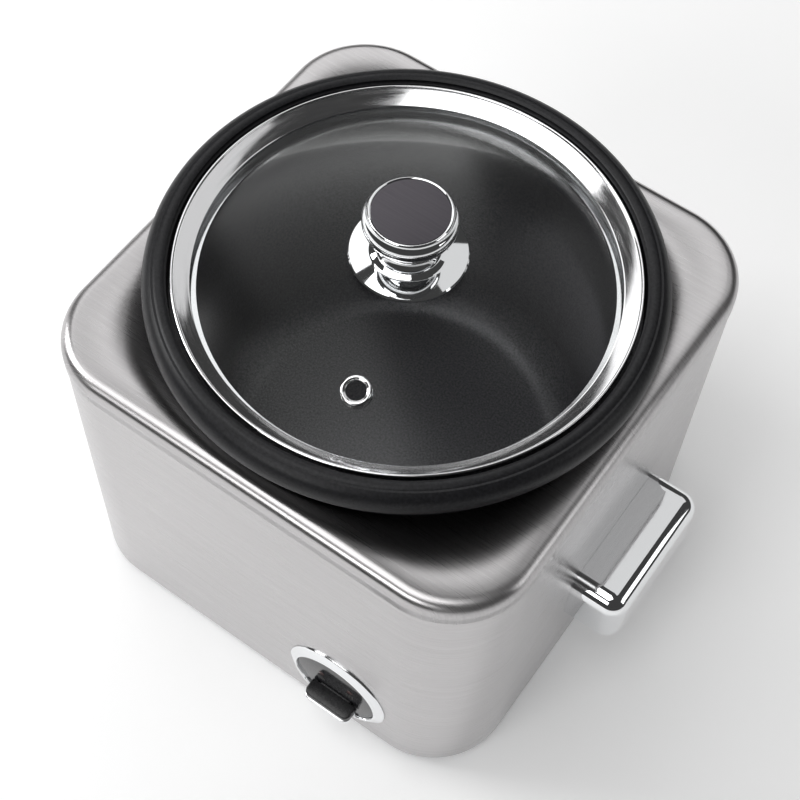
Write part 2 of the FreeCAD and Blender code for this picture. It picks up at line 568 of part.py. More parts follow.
def make_lever():
    """The paddle, its lever arm, pivot pin and bracket, and the microswitch below the arm."""
    paddle = new_body("paddle")
    face = f"-1 * ({FRONT})"
    tip = f"{face} - paddle_reach"
    low = "lever_height - stem_thick / 2"
    left, right = "switch_across - ", "switch_across + "
    pad(paddle, "XY_Plane", low, "stem_thick", lambda s: rectangle(
        s, left + "stem_half", f"{face} - 4", right + "stem_half", f"{face} + 24"))
    pad(paddle, "XY_Plane", "lever_height - paddle_thick / 2", "paddle_thick", lambda s: rectangle(
        s, left + "paddle_half", tip, right + "paddle_half", f"{face} - 2.6"))
    front = value(tip)
    round_edges(paddle, "3.5", lambda b: b.ZLength > value("paddle_thick") - 0.1 and b.YMax < front + 0.1)
    round_edges(paddle, "1.4", lambda b: b.YMin < front + 3.6 and b.ZLength < 0.1
                and b.XLength + b.YLength > 1)
    trim = new_body("paddle_trim")
    pad(trim, "XY_Plane", "lever_height - paddle_thick / 2 - 1.2", "1.1", lambda s: rectangle(
        s, left + "paddle_half + 0.6", f"{tip} + 0.4", right + "paddle_half - 0.6", f"{face} - 3.2"))
    arm = new_body("lever_arm")
    under = "arm_height - arm_wall / 2"
    pivot = f"{face} + pivot_back"
    pad(arm, "XY_Plane", under, "arm_wall", lambda s: outline(s, [
        (left + "arm_half", f"{face} + 11"), (right + "arm_half", f"{face} + 11"),
        (right + "arm_half", f"{pivot} + 14"), ("6", "3"), ("-5", "3"), ("-5", "-8"),
        (left + "arm_half", f"{pivot} + 9")]))
    pad(arm, "XY_Plane", "arm_height", f"{low} - arm_height", lambda s: rectangle(
        s, left + "arm_half", f"{face} + 13", right + "arm_half", f"{face} + 15"))
    pad(arm, "YZ_Plane", left + "arm_half", "2 * arm_half", lambda s: circle(
        s, pivot, "arm_height", "hub_radius"))
    pocket(arm, "YZ_Plane", left + "arm_half - 1", "2 * arm_half + 2", lambda s: circle(
        s, pivot, "arm_height", "pin_radius + bearing_gap"))
    joined("pivot_pin", [
        rod("pin_radius", "2 * arm_half + 7", left + "arm_half - 3.5", pivot, "arm_height", RIGHTWARD),
        rod("3.2", "1.2", left + "arm_half - 4.7", pivot, "arm_height", RIGHTWARD)])
    bracket = new_body("lever_bracket")
    base = "foot_height + plate_recess + plate_wall"
    pad(bracket, "XY_Plane", base, "1.5", lambda s: rectangle(
        s, left + "arm_half - 2.5", f"{pivot} - 8", right + "arm_half + 2.5", f"{pivot} + 8"))
    for edge in (left + "arm_half - 2.5", right + "arm_half + 1"):
        pad(bracket, "YZ_Plane", edge, "1.5", lambda s: rectangle(
            s, f"{pivot} - 6", base, f"{pivot} + 6", "arm_height + 6"))
    pocket(bracket, "YZ_Plane", left + "arm_half - 4", "2 * arm_half + 8", lambda s: circle(
        s, pivot, "arm_height", "pin_radius + 0.02"))
    switch = new_body("microswitch")
    away = f"{face} + 34"
    pad(switch, "XY_Plane", base, "7.6", lambda s: rectangle(
        s, left + "10", f"{away} - 6", right + "10", f"{away} + 6"))
    pocket(switch, "XY_Plane", f"{base} + 2.4", "6", lambda s: circle(s, "switch_across", away, "2.1"))
    joined("microswitch_button", [rod("2", "6", "switch_across", away, f"{base} + 5.2")])


def make_inlet():
    """The recessed mains inlet at the back, with its three pins, and the wiring behind it."""
    inlet = new_body("inlet_housing")
    outer = "body_depth / 2 - shell_inset + paddle_reach"
    pad(inlet, "XZ_Plane", f"{FRONT} + 0.05", "paddle_reach - 0.05", lambda s: rectangle(
        s, "-1 * inlet_half", "inlet_low", "inlet_half", "inlet_high"))
    far = value(outer)
    round_edges(inlet, "5", lambda b: b.YLength > 5)
    round_edges(inlet, "1.5", lambda b: b.YMin > far - 0.01)
    pad(inlet, "XZ_Plane", f"{FRONT} - inlet_inside", "inlet_inside + 1", lambda s: rectangle(
        s, "-1 * (inlet_half - 2.3)", "inlet_low + 2.3", "inlet_half - 2.3", "inlet_high - 2.3"))
    pocket(inlet, "XZ_Plane", f"{outer} - socket_depth", "socket_depth + 1", lambda s: rectangle(
        s, "-1 * socket_half", "inlet_low + socket_margin", "socket_half", "inlet_high - socket_margin"))
    mid = "(inlet_low + inlet_high) / 2"
    spots = ((-1, -3), (1, -3), (0, 4))
    for across, up in spots:
        pocket(inlet, "XZ_Plane", f"{FRONT} - inlet_inside - 1", "inlet_inside + 2", lambda s: circle(
            s, f"{across} * inlet_pitch", f"{mid} + {up}", "inlet_pin + press_gap"))
    start = f"{outer} - pin_recess"
    joined("inlet_pins", [rod("inlet_pin", "pin_length", f"{across} * inlet_pitch", start,
                              f"{mid} + {up}", FORWARD) for across, up in spots])
    block = new_body("terminal_block")
    base = "foot_height + plate_recess + plate_wall"
    pad(block, "XY_Plane", base, "14", lambda s: rectangle(s, "-70", "88", "-38", "102"))
    for across in (-62, -54, -46):
        pocket(block, "XY_Plane", f"{base} + 8", "8", lambda s: circle(s, str(across), "95", "2.4"))
    joined("terminal_screws", [rod("2.2", "5", str(across), "95", f"{base} + 8") for across in (-62, -54, -46)])
    joined("thermal_fuse", [rod("3", "22", "-34", "40", "liner_floor - 3.3", RIGHTWARD)])


def tube(label, points, thickness):
    """A wire on straight runs joined by tangent arcs."""
    spots = [Vector(*[value(c) for c in p]) for p in points]
    edges, last = [], spots[0]
    for before, corner, after in zip(spots, spots[1:], spots[2:]):
        way_in, way_out = (corner - before).normalize(), (after - corner).normalize()
        run = 0.45 * min((corner - before).Length, (after - corner).Length)
        start, end = corner - way_in * run, corner + way_out * run
        half = way_in.getAngle(way_out) / 2
        radius = run / math.tan(half)
        inward = (way_out - way_in).normalize()
        middle = corner + inward * (radius / math.cos(half) - radius)
        edges += [Part.LineSegment(last, start).toShape(), Part.Arc(start, middle, end).toShape()]
        last = end
    edges.append(Part.LineSegment(last, spots[-1]).toShape())
    path = Part.Wire(edges)
    ring = Part.makeCircle(thickness / 2, spots[0], spots[1] - spots[0])
    wire = doc.addObject("Part::Feature", label)
    wire.Label = label
    wire.Shape = path.makePipeShell([Part.Wire(ring)], True, False)
    wire.Placement = Placement()
    NODES.append(wire)


def make_wiring():
    """Two insulated wires from the inlet's pins to the terminal block, and one on to the fuse."""
    mid = "(inlet_low + inlet_high) / 2"
    back = f"{FRONT} + paddle_reach - pin_recess - pin_length - 0.3"
    tube("wire_live", [("-1 * inlet_pitch", back, f"{mid} - 3"), ("-10", "104", "30"), ("-22", "96", "20"),
                       ("-37.7", "95", "18")], 2.6)
    tube("wire_neutral", [("inlet_pitch", back, f"{mid} - 3"), ("10", "100", "29"), ("0", "84", "22"),
                          ("-24", "78", "18"), ("-54", "82", "18"), ("-54", "87.7", "18")], 2.6)
    tube("wire_fuse", [("-62", "87.7", "18"), ("-60", "74", "20"), ("-52", "54", "28"),
                       ("-45", "41", "33.6"), ("-34.6", "40", "34.7")], 2.6)


make_shell()
make_cover()
make_base()
make_chamber()
make_thermostat()
make_pot()
make_lid()
make_handle("handle_right", 1)
make_handle("handle_left", -1)
make_handle_screws()
make_switch()
make_lever()
make_inlet()
make_wiring()
doc.recompute()

for item in doc.Objects:
    if "Invalid" in item.State or "Error" in item.State:
        raise ValueError(f"{item.Label}: {item.State}")
for node in NODES:
    if node.Shape.isNull() or not node.Shape.isValid() or node.Shape.Volume <= 0:
        raise ValueError(f"{node.Label}: its shape is not a valid solid")

os.makedirs("parts", exist_ok=True)
for node in NODES:
    node.Shape.exportStep(f"parts/{node.Label}.step")
print(len(NODES), "nodes")
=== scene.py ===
# A square brushed-steel countertop cooker with a round pot, a glass lid and a press-down lever.
import json
import math

import bmesh
import bpy
from mathutils import Matrix, Vector


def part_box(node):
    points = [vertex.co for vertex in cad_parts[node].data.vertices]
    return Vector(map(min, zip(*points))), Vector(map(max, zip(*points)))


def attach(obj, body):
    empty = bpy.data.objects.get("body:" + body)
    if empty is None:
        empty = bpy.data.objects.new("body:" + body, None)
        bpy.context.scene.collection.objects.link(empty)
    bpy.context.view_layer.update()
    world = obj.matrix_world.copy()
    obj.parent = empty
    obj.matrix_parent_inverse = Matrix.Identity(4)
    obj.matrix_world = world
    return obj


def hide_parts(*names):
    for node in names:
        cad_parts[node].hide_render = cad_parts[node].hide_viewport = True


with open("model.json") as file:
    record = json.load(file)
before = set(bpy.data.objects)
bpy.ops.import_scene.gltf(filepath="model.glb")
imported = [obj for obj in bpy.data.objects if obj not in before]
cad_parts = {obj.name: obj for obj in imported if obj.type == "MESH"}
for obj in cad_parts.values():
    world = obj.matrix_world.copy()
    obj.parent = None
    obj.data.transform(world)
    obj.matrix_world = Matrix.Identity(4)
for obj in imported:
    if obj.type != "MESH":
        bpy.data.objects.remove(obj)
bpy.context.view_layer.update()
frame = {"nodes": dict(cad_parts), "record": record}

# --- Camera -------------------------------------------------------------------------------
# A long lens looks steeply down on the front right corner, with the cooker turned a third
# of a right angle, and rolled a little so that the left side sits higher in the frame.
TURN, TILT, ROLL = math.radians(32.63), math.radians(59.54), math.radians(3.21)
DISTANCE = 0.7601
AIM = Vector((0.02933, -0.04617, 0.198))
back = Vector((math.sin(TURN) * math.cos(TILT), -math.cos(TURN) * math.cos(TILT), math.sin(TILT)))
level = Vector((math.cos(TURN), math.sin(TURN), 0))
upward = back.cross(level)
across = level * math.cos(ROLL) + upward * math.sin(ROLL)
upward = upward * math.cos(ROLL) - level * math.sin(ROLL)
lens = bpy.data.cameras.new("camera")
lens.sensor_width = 36
lens.lens = 74.15
lens.clip_start = 0.05
camera = bpy.data.objects.new("camera", lens)
camera.matrix_world = Matrix.Translation(AIM + back * DISTANCE) @ Matrix(
    (across, upward, back)).transposed().to_4x4()
bpy.context.collection.objects.link(camera)
bpy.context.scene.camera = camera
bpy.context.scene.view_settings.view_transform = "Standard"

# --- Floor and light ----------------------------------------------------------------------
# A white table that glows faintly, in a nearly dark room. Six soft boxes light it from all
# round and give the polished parts pale shapes to mirror.
sheet = bmesh.new()
bmesh.ops.create_grid(sheet, x_segments=1, y_segments=1, size=3)
floor_mesh = bpy.data.meshes.new("floor")
sheet.to_mesh(floor_mesh)
sheet.free()
floor = bpy.data.objects.new("floor", floor_mesh)
bpy.context.collection.objects.link(floor)
floor_paint = bpy.data.materials.new("white_table")
floor_paint.use_nodes = True
floor_paint.node_tree.nodes["Principled BSDF"].inputs["Base Color"].default_value = (0.9, 0.9, 0.9, 1)
floor_paint.node_tree.nodes["Principled BSDF"].inputs["Roughness"].default_value = 0.9
floor_paint.node_tree.nodes["Principled BSDF"].inputs["Emission Color"].default_value = (1, 1, 1, 1)
floor_paint.node_tree.nodes["Principled BSDF"].inputs["Emission Strength"].default_value = 0.2
floor.data.materials.append(floor_paint)

room = bpy.data.worlds.new("room")
room.use_nodes = True
room.node_tree.nodes["Background"].inputs["Color"].default_value = (1, 1, 1, 1)
room.node_tree.nodes["Background"].inputs["Strength"].default_value = 0.05
bpy.context.scene.world = room


def soft_box(name, place, target, width, height, power):
    """A rectangular area light at a place, turned to face a target."""
    light = bpy.data.lights.new(name, "AREA")
    light.shape = "RECTANGLE"
    light.size, light.size_y = width, height
    light.energy = power
    lamp = bpy.data.objects.new(name, light)
    lamp.location = place
    lamp.rotation_euler = (Vector(target) - Vector(place)).to_track_quat("-Z", "Y").to_euler()
    bpy.context.collection.objects.link(lamp)


soft_box("box_back_left", (-1.25, 1.15, 1.8), (0, 0, 0.2), 2.0, 1.6, 14)
soft_box("box_back_right", (0.35, 1.3, 1.75), (0, 0, 0.2), 1.1, 1.5, 3.6)
soft_box("box_top", (-0.35, -0.45, 2.1), (0, 0, 0.2), 1.7, 1.1, 15)
soft_box("box_left", (-2.0, -0.7, 1.5), (0, 0, 0.1), 1.0, 1.0, 28)
soft_box("box_front", (-0.3, -2.1, 1.6), (0, 0, 0.1), 1.2, 0.8, 14)
soft_box("box_right", (1.9, 0.6, 0.9), (0, 0, 0.1), 0.9, 0.8, 4)

# --- Body shell ---------------------------------------------------------------------------
# The wrap of brushed stainless sheet, open above and below, with round upright corners.
# The grain runs level round the cooker. A round hole at the front takes the switch.
CORNER = 0.0425
WALL = 0.0008
BROAD = 0.0006  # a face larger than this, in square metres, stays truly flat


def shader(name, colour, metallic=0.0, roughness=0.5):
    """A material with its main shader, which keeps its even values on its own sockets."""
    material = bpy.data.materials.new(name)
    material.use_nodes = True
    main = material.node_tree.nodes["Principled BSDF"]
    main.inputs["Base Color"].default_value = (*colour, 1)
    main.inputs["Metallic"].default_value = metallic
    main.inputs["Roughness"].default_value = roughness
    return material


def grain(material, stretch, detail, low, high, socket):
    """Feeds a stretched noise in object space, remapped to low..high, to a socket."""
    nodes, links = material.node_tree.nodes, material.node_tree.links
    main = nodes["Principled BSDF"]
    place = nodes.new("ShaderNodeTexCoord")
    mapping = nodes.new("ShaderNodeMapping")
    mapping.inputs["Scale"].default_value = stretch
    texture = nodes.new("ShaderNodeTexNoise")
    texture.inputs["Scale"].default_value = 1
    texture.inputs["Detail"].default_value = detail
    links.new(place.outputs["Object"], mapping.inputs["Vector"])
    links.new(mapping.outputs["Vector"], texture.inputs["Vector"])
    if socket == "Normal":
        bump = nodes.new("ShaderNodeBump")
        bump.inputs["Strength"].default_value = low
        bump.inputs["Distance"].default_value = high
        links.new(texture.outputs["Fac"], bump.inputs["Height"])
        if main.inputs["Normal"].is_linked:
            links.new(main.inputs["Normal"].links[0].from_socket, bump.inputs["Normal"])
        links.new(bump.outputs["Normal"], main.inputs["Normal"])
        return
    span = nodes.new("ShaderNodeMapRange")
    span.inputs["From Min"].default_value = 0.3
    span.inputs["From Max"].default_value = 0.7
    if socket == "Base Color":
        blend = nodes.new("ShaderNodeMix")
        blend.data_type = "RGBA"
        blend.inputs["A"].default_value = (*low, 1)
        blend.inputs["B"].default_value = (*high, 1)
        links.new(texture.outputs["Fac"], span.inputs["Value"])
        links.new(span.outputs["Result"], blend.inputs["Factor"])
        links.new(blend.outputs["Result"], main.inputs["Base Color"])
        return
    span.inputs["To Min"].default_value = low
    span.inputs["To Max"].default_value = high
    links.new(texture.outputs["Fac"], span.inputs["Value"])
    links.new(span.outputs["Result"], main.inputs[socket])


def brushed(name, stretch, fine, across):
    """Brushed steel, whose grain and stretched gloss lie square to the given direction."""
    steel = shader(name, (0.51, 0.495, 0.493), 1.0, 0.3)
    grain(steel, stretch, 3, (0.490, 0.478, 0.482), (0.540, 0.528, 0.532), "Base Color")
    grain(steel, fine, 2, 0.26, 0.34, "Roughness")
    main = steel.node_tree.nodes["Principled BSDF"]
    main.inputs["Anisotropic"].default_value = 0.75
    place = steel.node_tree.nodes.new("ShaderNodeTexCoord")
    along = steel.node_tree.nodes.new("ShaderNodeVectorMath")
    along.operation = "CROSS_PRODUCT"
    along.inputs[1].default_value = across
    steel.node_tree.links.new(place.outputs["Normal"], along.inputs[0])
    steel.node_tree.links.new(along.outputs["Vector"], main.inputs["Tangent"])
    return steel


def crease(mesh, limit):
    """Smooths all faces, but keeps steep edges and the rims of large flat faces crisp."""
    for face in mesh.faces:
        face.smooth = True
    for edge in mesh.edges:
        if len(edge.link_faces) == 2:
            turn = edge.calc_face_angle(0)
            broad = max(face.calc_area() for face in edge.link_faces) > BROAD
            edge.smooth = turn < math.radians(0.2 if broad else limit)


def settle(name, mesh, material, body, nodes, limit=32, matrix=None):
    """Turns a finished bmesh into a piece that rides on a body and stands for CAD nodes."""
    if matrix:
        bmesh.ops.transform(mesh, matrix=matrix, verts=mesh.verts)
    bmesh.ops.remove_doubles(mesh, verts=mesh.verts, dist=1e-6)
    bmesh.ops.recalc_face_normals(mesh, faces=mesh.faces)
    crease(mesh, limit)
    data = bpy.data.meshes.new(name)
    mesh.to_mesh(data)
    mesh.free()
    piece = bpy.data.objects.new(name, data)
    bpy.context.collection.objects.link(piece)
    data.materials.append(material)
    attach(piece, body)
    if nodes:
        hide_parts(*nodes)
    return piece


def block(low, high):
    """A box between two corners."""
    mesh = bmesh.new()
    bmesh.ops.create_cube(mesh, size=1)
    size = [b - a for a, b in zip(low, high)]
    middle = [(a + b) / 2 for a, b in zip(low, high)]
    bmesh.ops.scale(mesh, vec=size, verts=mesh.verts)
    bmesh.ops.translate(mesh, vec=middle, verts=mesh.verts)
    return mesh


def soften(mesh, wanted, width, steps):
    """Rounds each edge that the test picks."""
    edges = [e for e in mesh.edges if wanted(e)]
    bmesh.ops.bevel(mesh, geom=edges, offset=width, segments=steps, profile=0.5,
                    affect="EDGES", material=-1, clamp_overlap=False)


def upright(edge):
    """Whether an edge stands upright."""
    return abs(edge.verts[0].co.z - edge.verts[1].co.z) > 0.002


def cut(piece, tool_mesh, name):
    """Cuts a closed shape out of a piece and drops the tool."""
    data = bpy.data.meshes.new(name)
    tool_mesh.to_mesh(data)
    tool_mesh.free()
    tool = bpy.data.objects.new(name, data)
    bpy.context.collection.objects.link(tool)
    step = piece.modifiers.new(name, "BOOLEAN")
    step.object = tool
    step.operation = "DIFFERENCE"
    step.solver = "EXACT"
    ready = bpy.context.evaluated_depsgraph_get()
    piece.data = bpy.data.meshes.new_from_object(piece.evaluated_get(ready))
    piece.modifiers.clear()
    bpy.data.objects.remove(tool)
    mesh = bmesh.new()
    mesh.from_mesh(piece.data)
    crease(mesh, 32)
    mesh.to_mesh(piece.data)
    mesh.free()


steel_side = brushed("brushed_steel_level", (14, 14, 1100), (25, 25, 3600), (0, 0, 1))
low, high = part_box("body_shell")
wrap = block(low, high)
soften(wrap, upright, CORNER, 48)
caps = [f for f in wrap.faces if abs(f.normal.z) > 0.9]
bmesh.ops.delete(wrap, geom=caps, context="FACES_ONLY")
shell = settle("body_shell_skin", wrap, steel_side, "housing", ["body_shell"])
skin = shell.modifiers.new("sheet", "SOLIDIFY")
skin.thickness = WALL
skin.offset = -1
hole = bmesh.new()
bezel_low, bezel_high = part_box("switch_bezel")
SWITCH = Vector(((bezel_low[0] + bezel_high[0]) / 2, low[1], (bezel_low[2] + bezel_high[2]) / 2))
bmesh.ops.create_cone(hole, cap_ends=True, segments=96, radius1=0.0257, radius2=0.0257, depth=0.02,
                      matrix=Matrix.Translation(SWITCH) @ Matrix.Rotation(math.pi / 2, 4, "X"))
cut(shell, hole, "switch_hole")

# --- Top cover ----------------------------------------------------------------------------
# A pressed cap of the same sheet with a rolled edge, standing a shadow gap above the wrap.
# Its grain runs from side to side, and its round opening takes the pot.
ROLL_EDGE = 0.007
OPENING = 0.1075
steel_top = brushed("brushed_steel_top", (14, 1100, 14), (25, 3600, 25), (0, -1, 0))
low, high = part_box("top_cover")
cap = block(low, high)
soften(cap, upright, CORNER + 0.0005, 48)
soften(cap, lambda e: min(v.co.z for v in e.verts) > high[2] - 1e-5, ROLL_EDGE, 10)
flats = [f for f in cap.faces if abs(f.normal.z) > 0.99 and f.calc_area() > 0.01]
bmesh.ops.inset_region(cap, faces=[f for f in flats if f.normal.z > 0], thickness=0.0008)
flats = [f for f in cap.faces if abs(f.normal.z) > 0.99 and f.calc_area() > 0.01]
bmesh.ops.delete(cap, geom=flats, context="FACES_ONLY")
outer = [e for e in cap.edges if e.is_boundary and e.verts[0].co.z > high[2] - 1e-5]
bmesh.ops.subdivide_edges(cap, edges=[e for e in outer if e.calc_length() > 0.05], cuts=31)
outer = [e for e in cap.edges if e.is_boundary and e.verts[0].co.z > high[2] - 1e-5]
grown = bmesh.ops.extrude_edge_only(cap, edges=outer)["geom"]
for corner in [v for v in grown if isinstance(v, bmesh.types.BMVert)]:
    corner.co.xy = corner.co.xy.normalized() * OPENING
cover = settle("top_cover_skin", cap, steel_top, "housing", ["top_cover"])
skin = cover.modifiers.new("sheet", "SOLIDIFY")
skin.thickness = 0.0009
skin.offset = -1

# --- Seam shade strip (painted shade) -----------------------------------------------------
# A thin black strip of painted shade that darkens the shadow gap between the wrap and the
# cap, set a hair behind both; it stands for the gap's shade, not for a real rubber part.
# Black rubber for the real rubber parts; the seam strip below also wears it as painted shade.
rubber = shader("soft_rubber_and_gap_shade", (0.02, 0.02, 0.02), 0.0, 0.8)
grain(rubber, (700, 700, 700), 2, 0.3, 0.0003, "Normal")
INSET = 0.0002
low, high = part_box("body_shell")
strip = block((low[0] + INSET, low[1] + INSET, high[2] - 0.0002),
              (high[0] - INSET, high[1] - INSET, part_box("top_cover")[0][2] + 0.0002))
soften(strip, lambda e: e.calc_length() < 0.01, CORNER, 48)
bmesh.ops.delete(strip, geom=[f for f in strip.faces if abs(f.normal.z) > 0.9], context="FACES_ONLY")
# The strip is painted shade: a dark sheet where the gap between wrap and cap is only in shadow.
gap_shade_strip = settle("seam_shade_strip", strip, rubber, "housing", None)
skin = gap_shade_strip.modifiers.new("sheet", "SOLIDIFY")
skin.thickness = 0.0007
skin.offset = -1

# --- Pot and its rim ring -----------------------------------------------------------------
# The pot is drawn aluminium with a charcoal non-stick coat. Its flange is held in a thick
# moulded ring with a fine pebbled skin, whose stepped inside edge the lid drops into.


def turned(profile, closed=True, steps=160):
    """A turned shape from (radius, height, rounding) points, about the Z axis."""
    mesh = bmesh.new()
    line = [mesh.verts.new((point[0], 0, point[1])) for point in profile]
    pairs = list(zip(line, line[1:])) + ([(line[-1], line[0])] if closed else [])
    edges = [mesh.edges.new(pair) for pair in pairs]
    bmesh.ops.spin(mesh, geom=line + edges, cent=(0, 0, 0), axis=(0, 0, 1), angle=math.tau,
                   steps=steps, use_merge=True, use_duplicate=False)
    bmesh.ops.remove_doubles(mesh, verts=mesh.verts, dist=1e-6)
    for radius, height, rounding in [p for p in profile if len(p) == 3]:
        rim = [e for e in mesh.edges if all(abs(v.co.z - height) < 1e-6 and abs(
            math.hypot(v.co.x, v.co.y) - radius) < 1e-6 for v in e.verts)]
        bmesh.ops.bevel(mesh, geom=rim, offset=rounding, segments=5, profile=0.5,
                        affect="EDGES", material=-1, clamp_overlap=False)
    return mesh


def bend(centre_r, centre_z, radius, start, end, count=8):
    """Points along an arc of a profile, between two angles in degrees."""
    angles = [math.radians(start + (end - start) * i / count) for i in range(count + 1)]
    return [(centre_r + radius * math.cos(a), centre_z + radius * math.sin(a)) for a in angles]


coat = shader("charcoal_coat", (0.045, 0.045, 0.05), 0.2, 0.36)
grain(coat, (900, 900, 900), 2, (0.050, 0.050, 0.055), (0.125, 0.122, 0.130), "Base Color")
grain(coat, (1500, 1500, 1500), 2, 0.30, 0.46, "Roughness")
grain(coat, (1300, 1300, 1300), 1, 0.25, 0.0003, "Normal")
low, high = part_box("inner_pot")
POT, POT_WALL, FLOOR_BEND = 0.102, 0.002, 0.024
FLANGE = high[0]
rim = high[2]
pot = turned(
    [(0, low[2])] + bend(POT - FLOOR_BEND, low[2] + FLOOR_BEND, FLOOR_BEND, -90, 0, 12)
    + [(POT, rim - 0.004), (POT + 0.0015, rim - POT_WALL), (FLANGE, rim - POT_WALL), (FLANGE, rim)]
    + bend(POT, rim - POT_WALL, POT_WALL, 90, 180, 6)
    + bend(POT - FLOOR_BEND, low[2] + FLOOR_BEND, FLOOR_BEND - POT_WALL, 0, -90, 12)[:-1]
    + [(POT - FLOOR_BEND, low[2] + 0.0025), (0, low[2] + 0.0025)], closed=False, steps=192)
settle("inner_pot_skin", pot, coat, "pot", ["inner_pot"])

pebble = shader("pebbled_black", (0.010, 0.010, 0.012), 0.0, 0.38)
pebble.node_tree.nodes["Principled BSDF"].inputs["Specular IOR Level"].default_value = 0.25
grain(pebble, (700, 700, 700), 3, (0.006, 0.006, 0.007), (0.016, 0.016, 0.018), "Base Color")
grain(pebble, (1500, 1500, 1500), 2, 0.35, 0.0002, "Normal")
low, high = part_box("pot_rim_ring")
REACH, FOOT, CREST = high[0], 0.2156, high[2]
ring = turned([
    (0.1132, low[2], 0.0004), (0.117, low[2], 0.0008), (0.1176, FOOT - 0.0016),
    (REACH - 0.0022, FOOT, 0.0007),
    (REACH, FOOT + 0.0022, 0.0010)] + bend(REACH - 0.0095, FOOT + 0.0044, 0.0095, 8, 62, 8)
    + bend(REACH - 0.0085, CREST - 0.0042, 0.0042, 55, 130, 8)
    + [(0.1141, CREST - 0.0027, 0.0003), (0.1115, CREST - 0.0032, 0.0004), (0.1115, rim + 0.0002),
       (0.1132, rim + 0.0002)], steps=192)
settle("pot_rim_ring_skin", ring, pebble, "pot", ["pot_rim_ring"])

# --- Lid glass ----------------------------------------------------------------------------
# A shallow dome of clear tempered glass, 4 mm thick, drilled here only for the vent.
pane = bpy.data.materials.new("tempered_glass")
pane.use_nodes = True
pane.node_tree.nodes.clear()
sight = pane.node_tree.nodes.new("ShaderNodeBsdfTransparent")
sight.inputs["Color"].default_value = (0.95, 0.955, 0.955, 1)
shine = pane.node_tree.nodes.new("ShaderNodeBsdfGlossy")
shine.inputs["Roughness"].default_value = 0.22
facing = pane.node_tree.nodes.new("ShaderNodeFresnel")
facing.inputs["IOR"].default_value = 1.22
both = pane.node_tree.nodes.new("ShaderNodeMixShader")
result = pane.node_tree.nodes.new("ShaderNodeOutputMaterial")
pane.node_tree.links.new(facing.outputs["Fac"], both.inputs["Fac"])
pane.node_tree.links.new(sight.outputs["BSDF"], both.inputs[1])
pane.node_tree.links.new(shine.outputs["BSDF"], both.inputs[2])
pane.node_tree.links.new(both.outputs["Shader"], result.inputs["Surface"])
low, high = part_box("lid_glass")
EDGE, GLASS = high[0], 0.004
TOP = high[2]
SAG = TOP - 0.2196
DOME = (EDGE ** 2 + SAG ** 2) / (2 * SAG)


def dome(radius, drop=0.0):
    """The height of the glass at a distance from the axis."""
    return TOP - drop - DOME + math.sqrt(DOME ** 2 - radius ** 2)


stops = [EDGE * i / 24 for i in range(25)]
glass = turned([(r, dome(r)) for r in stops[:-1]] + [(EDGE, dome(EDGE), 0.0006)]
               + [(EDGE, dome(EDGE, GLASS), 0.0006)] + [(r, dome(r, GLASS)) for r in reversed(stops[:-1])],
               closed=False, steps=192)
lid = settle("lid_glass_pane", glass, pane, "lid", ["lid_glass"])
low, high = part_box("vent_grommet")
VENT = Vector(((low[0] + high[0]) / 2, (low[1] + high[1]) / 2, 0))
VENT.z = dome(VENT.length)
drill = bmesh.new()
bmesh.ops.create_cone(drill, cap_ends=True, segments=48, radius1=0.0062, radius2=0.0062, depth=0.03,
                      matrix=Matrix.Translation(VENT))
cut(lid, drill, "vent_hole")

# --- Lid band -----------------------------------------------------------------------------
# A polished steel band rolled round the glass: a funnel that rises outwards to a beaded rim.
polished = shader("polished_steel", (0.80, 0.80, 0.81), 1.0, 0.10)
grain(polished, (60, 60, 900), 2, 0.07, 0.16, "Roughness")
low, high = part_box("lid_band")
OUT, BEAD, REST = high[0], high[2], low[2]
SIDE = EDGE + 0.0003
band = turned([
    (0.1013, 0.2204), (SIDE, 0.2204), (SIDE, REST + 0.0007), (EDGE - 0.0045, REST + 0.0007),
    (EDGE - 0.0045, REST), (SIDE + 0.001, REST, 0.0004), (SIDE + 0.001, 0.2214),
    (OUT - 0.0009, BEAD - 0.0018),
    (OUT, BEAD - 0.0013)] + bend(OUT - 0.0008, BEAD - 0.0008, 0.0008, 0, 180, 8)
    + [(OUT - 0.0016, BEAD - 0.0011), (OUT - 0.0021, BEAD - 0.0012), (0.1019, 0.2211), (0.1013, 0.2209)],
    steps=224)
settle("lid_band_skin", band, polished, "lid", ["lid_band"])

# --- Steam vent ---------------------------------------------------------------------------
# A small rolled steel eyelet, set square to the slope of the glass.
lean = Matrix.Rotation(math.asin(VENT.xy.length / DOME), 4, Vector((-VENT.y, VENT.x, 0)))
eyelet = turned([
    (0.0048, -0.0051), (0.0072, -0.0051), (0.0072, -0.0043), (0.0056, -0.0043), (0.0056, 0.0002),
    (0.0072, 0.0002, 0.0001)] + bend(0.0062, 0.0003, 0.0010, 10, 120, 6) + [(0.0052, 0.0008)]
    + bend(0.0052, 0.0002, 0.0005, 90, 180, 4), steps=64)
settle("vent_eyelet", eyelet, polished, "lid", ["vent_grommet"],
       matrix=Matrix.Translation(VENT) @ lean)

# --- Knob ---------------------------------------------------------------------------------
# A chromed zinc knob: a broad foot plate, a drawn-in waist and a fat rounded head, with a
# satin dark disc let into its flat top. A screw from below holds it through the glass.
chrome = shader("bright_chrome", (0.86, 0.87, 0.88), 1.0, 0.035)
grain(chrome, (120, 120, 120), 2, 0.025, 0.06, "Roughness")
BORE = 0.0024
low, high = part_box("knob_base")
plate = turned([
    (BORE, low[2] + 0.001), (0.0275, low[2], 0.0002), (high[0], low[2] + 0.0007),
    (high[0], low[2] + 0.0012),
    (high[0] - 0.0006, low[2] + 0.0020), (0.0185, low[2] + 0.0036, 0.0008), (0.0155, high[2], 0.0004),
    (BORE, high[2])], steps=128)
settle("knob_foot", plate, chrome, "lid", ["knob_base"])
low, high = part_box("knob")
HEAD = 0.022
top = high[2]
waist = [(0.0144 - 0.0026 * math.sin(math.pi * i / 10) + 0.0006 * i / 10, low[2] + 0.0128 * i / 10)
         for i in range(11)]
